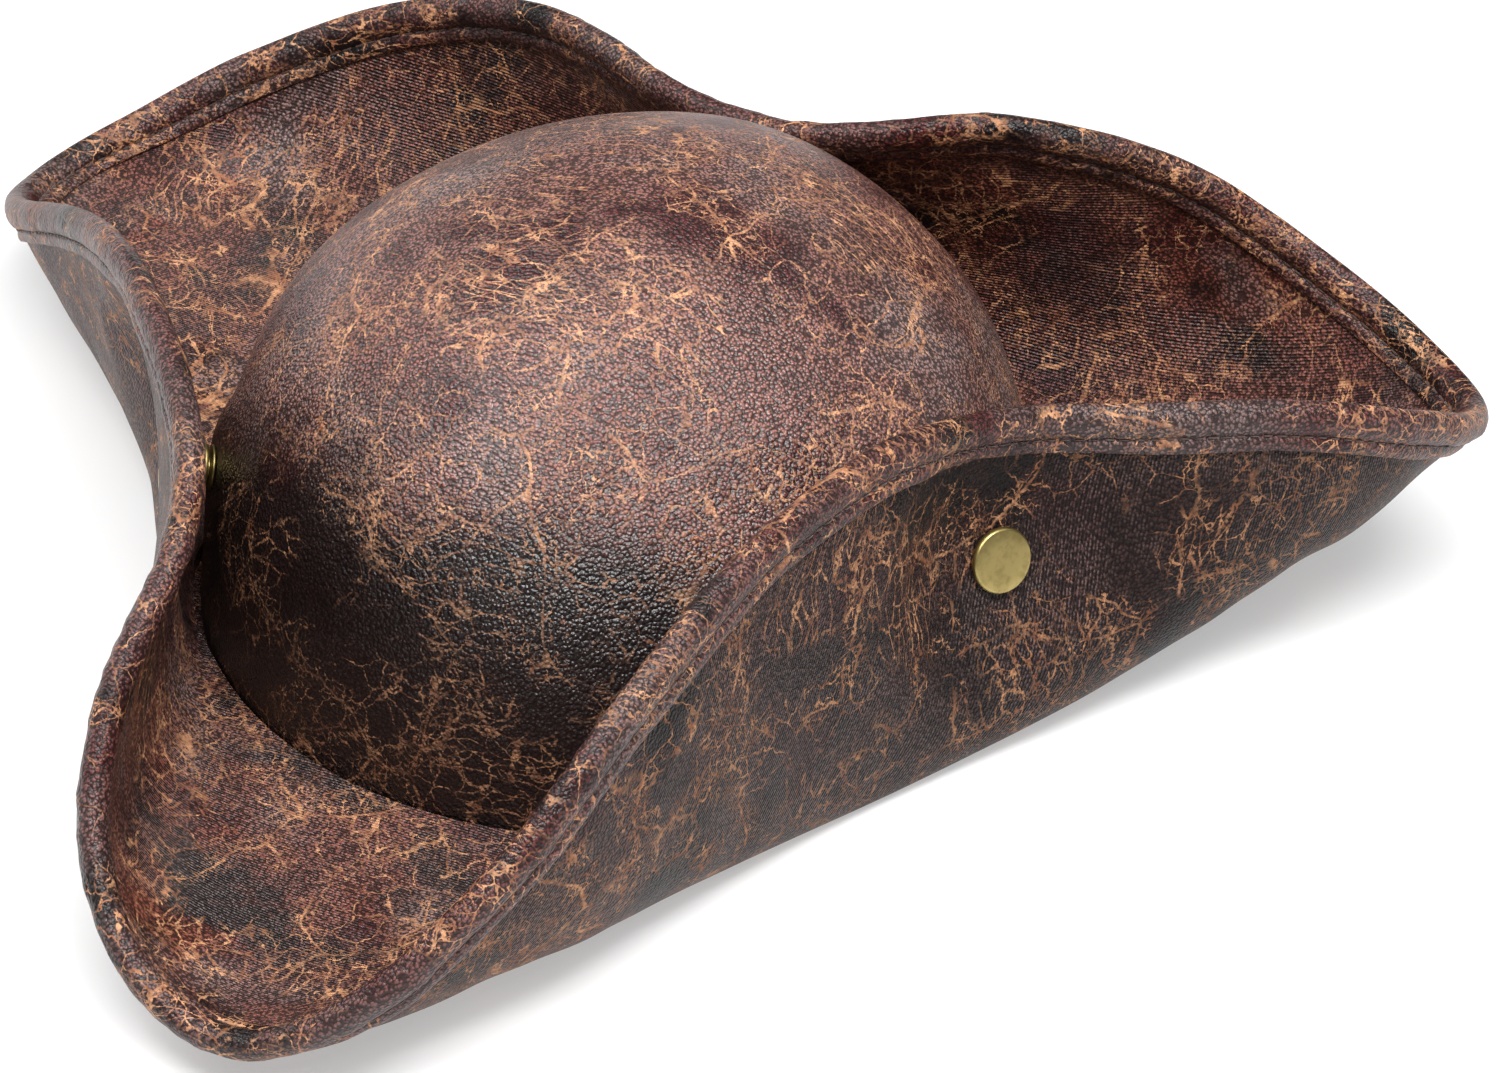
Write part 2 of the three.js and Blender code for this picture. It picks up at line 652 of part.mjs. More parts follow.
for (const snap of SNAPS) {
  for (const piece of SNAP_PIECES) {
    add(`snap_${snap.name}_${piece.name}`, turned(piece.profile, snap.seat, snap.axis), piece.material);
  }
}

export default hat;
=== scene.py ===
import math

import bpy
import numpy as np
from mathutils import Matrix, Vector


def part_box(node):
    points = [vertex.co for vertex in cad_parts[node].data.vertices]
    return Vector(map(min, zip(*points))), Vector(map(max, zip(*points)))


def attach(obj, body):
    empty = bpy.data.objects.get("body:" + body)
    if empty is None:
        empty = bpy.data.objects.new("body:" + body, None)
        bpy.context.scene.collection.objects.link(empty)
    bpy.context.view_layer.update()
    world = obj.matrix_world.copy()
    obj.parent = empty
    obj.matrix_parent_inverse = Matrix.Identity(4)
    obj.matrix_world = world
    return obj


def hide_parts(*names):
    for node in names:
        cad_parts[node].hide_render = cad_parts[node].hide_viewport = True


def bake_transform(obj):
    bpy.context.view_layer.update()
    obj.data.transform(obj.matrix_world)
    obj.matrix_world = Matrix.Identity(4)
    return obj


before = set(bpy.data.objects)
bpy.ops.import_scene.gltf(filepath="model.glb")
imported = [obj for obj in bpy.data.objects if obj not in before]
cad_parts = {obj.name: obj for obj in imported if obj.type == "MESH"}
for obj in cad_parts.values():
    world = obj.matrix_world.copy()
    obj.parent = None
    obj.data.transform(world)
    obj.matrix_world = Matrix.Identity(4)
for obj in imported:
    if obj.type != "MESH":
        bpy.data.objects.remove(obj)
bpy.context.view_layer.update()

# ---- Dimensions, in millimetres, as in the CAD -------------------------------------------------
MM = 0.001
CROWN_HALF_WIDTH = 92
CROWN_HALF_LENGTH = 104
CROWN_HEIGHT = 103
CROWN_POWER = 2.7
BASE_Z = 2
# Rim x, y, z, then crease x, y, z, every 20 degrees from the front peak towards +X. The numbers
# began as a scratch fit to the photo and were then moved.
STATIONS = np.array([
    [-1, -205, 12, 0, -184, 0],
    [44, -184, 44, 48, -160, 0],
    [61, -130, 79, 74, -108, 0],
    [78, -61, 90, 90, -56, 0],
    [107, -4, 78, 122, -12, 0],
    [155, 38, 69, 146, 35, 5],
    [169, 92, 45, 147, 89, 19],
    [117, 121, 57, 109, 120, 4],
    [60, 98, 84, 49, 129, 0],
    [-3, 84, 75, -4, 135, 0],
    [-68, 110, 72, -62, 131, 0],
    [-131, 113, 49, -116, 117, 4],
    [-178, 70, 21, -160, 85, 12],
    [-157, 17, 43, -160, 30, 3],
    [-119, -28, 74, -122, -10, 0],
    [-84, -74, 90, -88, -52, 0],
    [-50, -124, 80, -76, -108, 0],
    [-43, -179, 42, -52, -160, 0],
], float)

SKIN = 0.9
CORE = 1.3
LAYER_GAP = 0.3
HALF_BRIM = CORE / 2 + LAYER_GAP + SKIN
CROWN_SHELL = 0.9
CROWN_CORE = 1.4
CROWN_LINING = 0.6
SWEATBAND = 1.0
SWEATBAND_HEIGHT = 28
FOOT_GAP = 0.4  # from the crown's wall to the brim's foot
FLANGE_INSIDE = 4.9  # how far in the under skin's ring reaches below the crown's wall
SNAP_REACH = 7.3  # from the brim's middle surface at a snap to the crown's face
# The cloth is flat within the first distance of a snap's axis and free past the second.
BRIM_SEAT = (10, 44)
CROWN_SEAT = (7, 20)
SEAT_HEIGHT = 30  # and only this near to the snap's plane
SNAPS = {
    "right": {"at": (94, -18.5, 48), "azimuth": 54, "rise": 18},
    "back": {"at": (-3, 106.5, 44), "azimuth": 178, "rise": 22},
    "left": {"at": (-84.5, -54, 38), "azimuth": -60, "rise": 8},
}
FOOT_Z = BASE_Z - CORE / 2

# The six sectors of the brim: the flap that each belongs to, and the degrees of the middle of that
# flap and of the peak beside it.
SECTORS = [
    {"name": "right_front", "flap": "right", "middle": 75, "peak": 0},
    {"name": "right_rear", "flap": "right", "middle": 75, "peak": 120},
    {"name": "back_right", "flap": "back", "middle": 180, "peak": 120},
    {"name": "back_left", "flap": "back", "middle": 180, "peak": 240},
    {"name": "left_rear", "flap": "left", "middle": 300, "peak": 240},
    {"name": "left_front", "flap": "left", "middle": 300, "peak": 360},
]
HINGE_Z = 4.0  # height of the hinge lines

# Where the middle of the crown lies in the frame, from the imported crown.
crown_low, crown_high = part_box("crown_shell")
ORIGIN = np.array([
    (crown_low.x + crown_high.x) / 2,
    (crown_low.y + crown_high.y) / 2,
    crown_high.z - (BASE_Z + CROWN_HEIGHT) * MM,
])


def direction(azimuth, rise):
    """The unit vector at these degrees from the front towards +X, and up."""
    a, e = math.radians(azimuth), math.radians(rise)
    return math.sin(a) * math.cos(e), -math.cos(a) * math.cos(e), math.sin(e)


for snap in SNAPS.values():
    snap["axis"] = np.array(direction(snap["azimuth"], snap["rise"]))
    snap["seat"] = np.array(snap["at"], float)
    snap["foot"] = snap["seat"] - snap["axis"] * SNAP_REACH


# ---- Surfaces ----------------------------------------------------------------------------------
def smooth(t):
    t = np.clip(t, 0, 1)
    return t * t * (3 - 2 * t)


def unit(v):
    return v / np.linalg.norm(v, axis=-1, keepdims=True)


def spline_control():
    """Control points of the closed uniform cubic B-spline that passes through the stations."""
    n = len(STATIONS)
    matrix = 4 * np.eye(n) + np.roll(np.eye(n), 1, axis=0) + np.roll(np.eye(n), -1, axis=0)
    return np.linalg.solve(matrix / 6, STATIONS)


CONTROL = spline_control()


def station(deg):
    """Rim and crease points at these degrees."""
    n = len(STATIONS)
    at = np.asarray(deg, float) / 360 % 1 * n
    i = np.floor(at).astype(int)
    t = at - i
    weights = (1 - t) ** 3, 3 * t**3 - 6 * t**2 + 4, -3 * t**3 + 3 * t**2 + 3 * t + 1, t**3
    out = sum(w[..., None] * CONTROL[(i + k - 1) % n] for k, w in enumerate(weights)) / 6
    return out[..., :3], out[..., 3:]


def ellipse(deg, grow, z):
    """A point this far outside the crown's oval."""
    a = np.radians(deg)
    x, y = np.sin(a), -np.cos(a)
    normal = unit(np.stack([x / CROWN_HALF_WIDTH, y / CROWN_HALF_LENGTH], -1))
    flat = np.stack([CROWN_HALF_WIDTH * x, CROWN_HALF_LENGTH * y], -1)
    flat = flat + normal * np.asarray(grow)[..., None]
    height = np.broadcast_to(np.asarray(z, float)[..., None], flat.shape[:-1] + (1,))
    return np.concatenate([flat, height], -1)


def pressed(points, centre, axis, radii):
    """Points moved on to the plane through centre, fully inside radii[0], not at all past radii[1]."""
    away = points - centre
    height = away @ axis
    across = np.linalg.norm(away - height[..., None] * axis, axis=-1)
    weight = 1 - smooth((across - radii[0]) / (radii[1] - radii[0]))
    weight = np.where(np.abs(height) > SEAT_HEIGHT, 0, weight)
    return points - (height * weight)[..., None] * axis


def brim_surface(deg, share):
    """The brim's middle surface as the CAD has it: share 0 at the crown's foot, 1 at the rim."""
    rim, crease = station(deg)
    s = np.asarray(share, float)[..., None]
    points = ellipse(deg, FOOT_GAP * np.ones_like(share), BASE_Z) * (1 - s) ** 2
    points = points + crease * 2 * s * (1 - s) + rim * s**2
    for snap in SNAPS.values():
        points = pressed(points, snap["seat"], snap["axis"], BRIM_SEAT)
    return points


# Small steps for the slopes of the surfaces: of share, of degrees, of share in from the rim.
SHARE_STEP = 0.001
TURN_STEP = 0.2
RIM_STEP = 0.02


def brim_normal(deg, share):
    s = np.clip(share, SHARE_STEP, 1 - SHARE_STEP)
    across = brim_surface(deg, s + SHARE_STEP) - brim_surface(deg, s - SHARE_STEP)
    along = brim_surface(deg + TURN_STEP, s) - brim_surface(deg - TURN_STEP, s)
    return unit(np.cross(across, along))


def make_waves(seed, count, shortest, longest):
    """Random plane waves, each with a wave vector and a phase; the lengths are in millimetres."""
    random = np.random.default_rng(seed)
    heading = unit(random.normal(size=(count, 3)))
    length = random.uniform(shortest, longest, count)
    return heading * (2 * math.pi / length)[:, None], random.uniform(0, 2 * math.pi, count)


BRIM_WAVES = make_waves(3, 9, 38, 95)
FINE_WAVES = make_waves(8, 12, 13, 26)
CROWN_WAVES = make_waves(5, 9, 45, 110)
BRIM_WAVE, FINE_WAVE, CROWN_WAVE = 0.75, 0.16, 0.55  # their heights in millimetres
CROWN_SINK = 0.35  # how far in the crown's waves lie on the whole
BRIM_FADE = (0.2, 0.4)  # the share of the brim where its waves begin, and over which they grow
CROWN_FADE = 0.2  # the share of the crown over which its waves grow
# No waves within the first distance of a snap, all of them past the second.
BRIM_CALM = (10, 30)
CROWN_CALM = (12, 32)


def relief(points, waves):
    vectors, phases = waves
    return np.sin(points @ vectors.T + phases).sum(-1) / math.sqrt(len(phases))


def near_snap(points, inner, outer):
    """1 at a snap's seat, falling to 0."""
    near = np.zeros(points.shape[:-1])
    for snap in SNAPS.values():
        distance = np.linalg.norm(points - snap["seat"], axis=-1)
        near = np.maximum(near, 1 - smooth((distance - inner) / (outer - inner)))
    return near


def brim_point(deg, share, height):
    """A point this far above the brim's middle surface, with the cloth's soft waviness."""
    deg, share = np.broadcast_arrays(np.asarray(deg, float), np.asarray(share, float))
    middle = brim_surface(deg, share)
    normal = brim_normal(deg, share)
    wave = BRIM_WAVE * relief(middle, BRIM_WAVES) + FINE_WAVE * relief(middle, FINE_WAVES)
    wave = wave * smooth((share - BRIM_FADE[0]) / BRIM_FADE[1]) * (1 - near_snap(middle, *BRIM_CALM))
    return middle + normal * (wave + height)[..., None]


def rim_length(deg):
    """Millimetres for each unit of share, at the rim."""
    one = np.ones_like(deg)
    outward = brim_surface(deg, one) - brim_surface(deg, (1 - RIM_STEP) * one)
    return np.linalg.norm(outward, axis=-1) / RIM_STEP


def rim_frame(deg):
    """Out along the brim's surface, and up along its normal, at the rim."""
    one = np.ones_like(deg)
    along = unit(brim_surface(deg + TURN_STEP, one) - brim_surface(deg - TURN_STEP, one))
    up = brim_normal(deg, one)
    out = unit(np.cross(along, up))
    inward = brim_surface(deg, (1 - RIM_STEP) * one) - brim_surface(deg, one)
    flip = np.sign((out * inward).sum(-1, keepdims=True))
    return -flip * out, up


def edge_point(deg, beyond, height):
    """A point beyond the raw edge (positive) or in from it (negative), at a height."""
    one = np.ones_like(deg)
    if beyond <= 0:
        return brim_point(deg, 1 + beyond / rim_length(deg), height)
    out, up = rim_frame(deg)
    return brim_point(deg, one, 0 * one) + out * beyond + up * np.asarray(height)[..., None]


def crown_surface(deg, climb):
    a = np.radians(deg)
    turn = np.asarray(climb, float) * math.pi / 2
    points = np.stack([
        CROWN_HALF_WIDTH * np.cos(turn) * np.sin(a),
        -CROWN_HALF_LENGTH * np.cos(turn) * np.cos(a),
        BASE_Z + CROWN_HEIGHT * np.sin(turn) ** (2 / CROWN_POWER),
    ], -1)
    for snap in SNAPS.values():
        points = pressed(points, snap["foot"], snap["axis"], CROWN_SEAT)
    return points


def crown_point(deg, climb, depth):
    """A point this far below the crown's outer face, with its soft dents; climb is 0 at the foot
    and 1 at the top."""
    c = np.clip(climb, 0.01, 0.985)
    up = crown_surface(deg, c + 0.005) - crown_surface(deg, c - 0.005)
    along = crown_surface(deg + 0.5, c) - crown_surface(deg - 0.5, c)
    normal = unit(np.cross(along, up))
    points = crown_surface(deg, climb)
    fade = smooth(climb / CROWN_FADE) * (1 - near_snap(points, *CROWN_CALM))
    wave = (CROWN_WAVE * relief(points, CROWN_WAVES) - CROWN_SINK) * fade
    return points + normal * (wave - depth)[..., None]


# ---- Mesh making -------------------------------------------------------------------------------
SHARP_ANGLE = 38  # degrees between faces from which an edge shows
TURNED_SEGMENTS = 72
CORNER_STEPS = 4


def new_object(name, vertices, faces, material, uvs=None):
    """A mesh object from points in millimetres round the crown's centre."""
    mesh = bpy.data.meshes.new(name)
    mesh.from_pydata(np.asarray(vertices) * MM + ORIGIN, [], faces)
    mesh.polygons.foreach_set("use_smooth", [True] * len(mesh.polygons))
    if uvs is not None:
        layer = mesh.uv_layers.new(name="cut")
        corner = np.empty(len(mesh.loops), np.int64)
        mesh.loops.foreach_get("vertex_index", corner)
        layer.data.foreach_set("uv", np.asarray(uvs)[corner].astype(np.float32).ravel())
    mesh.set_sharp_from_angle(angle=math.radians(SHARP_ANGLE))
    mesh.materials.append(material)
    piece = bpy.data.objects.new(name, mesh)
    bpy.context.scene.collection.objects.link(piece)
    return piece


def shell(name, upper, lower, material, closed=False, uv=None):
    """The closed solid between two grids of points [column, row]; closed joins last to first."""
    columns, rows = upper.shape[:2]
    ids = np.arange(columns * rows).reshape(columns, rows)
    offset = columns * rows
    if closed:
        ids = np.concatenate([ids, ids[:1]])
    a, b, c, d = ids[:-1, :-1], ids[1:, :-1], ids[1:, 1:], ids[:-1, 1:]
    top = np.stack([a, b, c, d], -1).reshape(-1, 4)
    parts = [top, top[:, ::-1] + offset]

    def wall(line):
        parts.append(np.stack([line[1:], line[:-1], line[:-1] + offset, line[1:] + offset], -1))

    wall(ids[:, 0])
    wall(ids[::-1, -1])
    if not closed:
        wall(ids[-1])
        wall(ids[0, ::-1])
    faces = np.concatenate(parts)
    vertices = np.concatenate([upper.reshape(-1, 3), lower.reshape(-1, 3)])
    # Turn the faces over if those of the upper grid look at the lower one.
    centre = vertices[top].mean(1)
    across = np.cross(vertices[top[:, 2]] - vertices[top[:, 0]], vertices[top[:, 3]] - vertices[top[:, 1]])
    below = vertices[top + offset].mean(1)
    if ((centre - below) * across).sum() < 0:
        faces = faces[:, ::-1]
    uvs = None if uv is None else np.concatenate([uv.reshape(-1, 2)] * 2)
    return new_object(name, vertices, faces.tolist(), material, uvs)


def dome(name, outer, inner, tops, material):
    """A closed dome shell: two grids [column, row] from foot to near the top, and the two tops."""
    columns, rows = outer.shape[:2]
    n = columns * rows
    vertices = np.concatenate([outer.reshape(-1, 3), inner.reshape(-1, 3), np.array(tops)])
    faces = []
    for i in range(columns):
        k = (i + 1) % columns
        for j in range(rows - 1):
            a, b, c, d = i * rows + j, k * rows + j, k * rows + j + 1, i * rows + j + 1
            faces.append((a, b, c, d))
            faces.append((n + d, n + c, n + b, n + a))
        last, next_last = i * rows + rows - 1, k * rows + rows - 1
        faces.append((last, next_last, 2 * n))
        faces.append((n + next_last, n + last, 2 * n + 1))
        faces.append((k * rows, i * rows, n + i * rows, n + k * rows))
    return new_object(name, vertices, faces, material)


def turned(name, profile, snap, material):
    """A profile of [radius, height] turned about a snap's axis; it starts and ends on the axis,
    or closes on itself."""
    axis = Vector(snap["axis"])
    turn = np.array(axis.to_track_quat("Z", "Y").to_matrix())
    angles = np.arange(TURNED_SEGMENTS) / TURNED_SEGMENTS * 2 * math.pi
    vertices, rings = [], []
    for radius, height in profile:
        if radius == 0:
            rings.append([len(vertices)] * TURNED_SEGMENTS)
            vertices.append((0, 0, height))
            continue
        rings.append(list(range(len(vertices), len(vertices) + TURNED_SEGMENTS)))
        vertices += [(radius * math.cos(q), radius * math.sin(q), height) for q in angles]
    on_axis = profile[0][0] == 0
    pairs = list(zip(rings[:-1], rings[1:])) + ([] if on_axis else [(rings[-1], rings[0])])
    faces = []
    for one, two in pairs:
        for k in range(TURNED_SEGMENTS):
            m = (k + 1) % TURNED_SEGMENTS
            corners = [one[k], one[m], two[m], two[k]]
            face = [v for q, v in enumerate(corners) if v not in corners[:q]]
            if len(face) > 2:
                faces.append(face[::-1])
    points = np.array(vertices) @ turn.T + snap["seat"]
    return new_object(name, points, faces, material)


def rounded(profile, radius):
    """The profile with each corner off the axis replaced by a small curve."""
    out = []
    count = len(profile)
    open_ends = profile[0][0] == 0
    for i, here in enumerate(profile):
        if open_ends and i in (0, count - 1):
            out.append(here)
            continue
        here = np.array(here, float)
        before = np.array(profile[i - 1], float) - here
        after = np.array(profile[(i + 1) % count], float) - here
        reach = min(radius, np.linalg.norm(before) * 0.45, np.linalg.norm(after) * 0.45)
        start = here + before / np.linalg.norm(before) * reach
        end = here + after / np.linalg.norm(after) * reach
        for k in range(CORNER_STEPS + 1):
            t = k / CORNER_STEPS
            out.append(tuple(start * (1 - t) ** 2 + here * 2 * t * (1 - t) + end * t**2))
    return out


# A stitch, from one end to the other: how far along, and its radius and rise in radii of the thread.
STITCH_STOPS = [
    (0.0, 0.35, -0.9), (0.14, 0.85, -0.1), (0.35, 1, 0.35),
    (0.65, 1, 0.35), (0.86, 0.85, -0.1), (1.0, 0.35, -0.9),
]


def thread(name, lines, ups, radius, material):
    """Stitches: short tubes from each pair of points, bowed up a little and sinking at the ends."""
    sides = 6
    vertices, faces = [], []
    for (start, end), up in zip(lines, ups):
        along = unit(end - start)
        side = np.cross(along, up)
        base = len(vertices)
        for t, grow, rise in STITCH_STOPS:
            centre = start + (end - start) * t + up * radius * rise
            for k in range(sides):
                q = k / sides * 2 * math.pi
                vertices.append(centre + (side * math.cos(q) + up * math.sin(q)) * radius * grow)
        last = base + (len(STITCH_STOPS) - 1) * sides
        for ring in range(base, last, sides):
            for k in range(sides):
                m = (k + 1) % sides
                faces.append((ring + k, ring + m, ring + sides + m, ring + sides + k))
        faces.append(tuple(range(base + sides - 1, base - 1, -1)))
        faces.append(tuple(range(last, last + sides)))
    return new_object(name, np.array(vertices), faces, material)


def spaced(points, pitch, length):
    """Starts and ends of stitches of this length along a polyline, one at every pitch, and the
    place of each one's middle as an index into the polyline."""
    run = np.concatenate([[0], np.cumsum(np.linalg.norm(np.diff(points, axis=0), axis=1))])
    count = max(1, int(run[-1] / pitch))
    step = run[-1] / count
    starts = (np.arange(count) + 0.5) * step - length / 2

    def find(at):
        return np.stack([np.interp(at, run, points[:, k]) for k in range(3)], -1)

    middles = np.interp(starts + length / 2, run, np.arange(len(points)))
    return find(starts), find(starts + length), middles


# ---- Materials ---------------------------------------------------------------------------------
RIB_PITCH = 0.82  # the knit backing's ribs, in millimetres


class Shader:
    """A material's node tree, with a short call for each kind of node that is used here."""

    def __init__(self, name, slot):
        self.material = bpy.data.materials.new(name)
        self.material.use_nodes = True
        self.slot = slot
        self.tree = self.material.node_tree
        self.surface = self.tree.nodes["Principled BSDF"]
        where = self.add("ShaderNodeTexCoord")
        self.uv = where.outputs["UV"]
        self.mm = self.vector("SCALE", where.outputs["Object"], scale=1000)

    def add(self, kind, **values):
        node = self.tree.nodes.new(kind)
        for name, value in values.items():
            setattr(node, name, value)
        return node

    def put(self, socket, value):
        if isinstance(value, bpy.types.NodeSocket):
            self.tree.links.new(value, socket)
        elif value is not None:
            socket.default_value = value

    def vector(self, operation, a, b=None, scale=None):
        node = self.add("ShaderNodeVectorMath", operation=operation)
        self.put(node.inputs[0], a)
        self.put(node.inputs[1], b)
        if scale is not None:
            self.put(node.inputs["Scale"], scale)
        return node.outputs["Value" if operation == "DOT_PRODUCT" else "Vector"]

    def math(self, operation, a, b=None, clamp=False):
        node = self.add("ShaderNodeMath", operation=operation, use_clamp=clamp)
        self.put(node.inputs[0], a)
        self.put(node.inputs[1], b)
        return node.outputs[0]

    def step(self, value, start, end, low=0.0, high=1.0):
        """Low before start, high after end, smooth between."""
        node = self.add("ShaderNodeMapRange", interpolation_type="SMOOTHSTEP")
        ends = {"From Min": start, "From Max": end, "To Min": low, "To Max": high}
        for name, number in ends.items():
            self.put(node.inputs[name], number)
        self.put(node.inputs["Value"], value)
        return node.outputs["Result"]

    def noise(self, size, detail=2.0, rough=0.5, at=None, offset=0.0, color=False):
        """Noise with features about this many millimetres across."""
        node = self.add("ShaderNodeTexNoise")
        place = self.mm if at is None else at
        if offset:
            place = self.vector("ADD", place, (offset, offset * 1.7, -offset))
        self.put(node.inputs["Vector"], place)
        self.put(node.inputs["Scale"], 1 / size)
        self.put(node.inputs["Detail"], detail)
        self.put(node.inputs["Roughness"], rough)
        return node.outputs["Color" if color else "Fac"]

    def cells(self, size, at=None, feature="DISTANCE_TO_EDGE"):
        """Distance in millimetres to the nearest cell edge, or to the cell's centre."""
        node = self.add("ShaderNodeTexVoronoi", feature=feature)
        self.put(node.inputs["Vector"], self.mm if at is None else at)
        self.put(node.inputs["Scale"], 1 / size)
        return self.math("MULTIPLY", node.outputs["Distance"], size)

    def warp(self, at, size, amount, detail=2.0):
        """The place moved about by noise, by up to about this many millimetres."""
        move = self.vector("SUBTRACT", self.noise(size, detail, at=at, color=True), (0.5, 0.5, 0.5))
        return self.vector("ADD", at, self.vector("SCALE", move, scale=amount * 2))

    def mix(self, share, a, b):
        node = self.add("ShaderNodeMix", data_type="RGBA")
        self.put(node.inputs["Factor"], share)
        self.put(node.inputs["A"], a)
        self.put(node.inputs["B"], b)
        return node.outputs["Result"]

    def bump(self, height):
        """Bump from a height in millimetres."""
        node = self.add("ShaderNodeBump")
        self.put(node.inputs["Height"], height)
        self.put(node.inputs["Distance"], MM)
        self.put(node.inputs["Strength"], 1.0)
        self.put(self.surface.inputs["Normal"], node.outputs["Normal"])

    def set(self, **values):
        for name, value in values.items():
            self.put(self.surface.inputs[name.replace("_", " ")], value)


def rgb(red, green, blue):
    """A colour from display values, 0 to 255."""
    shares = [v / 255 for v in (red, green, blue)]
    linear = [v / 12.92 if v < 10 / 255 else ((v + 0.055) / 1.055) ** 2.4 for v in shares]
    return (*linear, 1.0)


def darker(color, share):
    return tuple(v * share for v in color[:3]) + (1.0,)


# The leather's colours apart from its dye.
NEAR_BLACK = rgb(26, 19, 19)
OXBLOOD = rgb(86, 36, 34)
# Painted shade in the hollows between the pebbles.
HOLLOW_SHADE = rgb(16, 10, 10)
DULL_TAN = rgb(150, 98, 68)
BRIGHT_TAN = rgb(212, 156, 114)
SPECK_TAN = rgb(186, 114, 66)
# The colours that painted shade takes the film and the tan lines towards.
SHADED_FILM = rgb(24, 17, 17)
SHADED_TAN = rgb(84, 54, 42)
RIB_GREY = rgb(122, 102, 98)


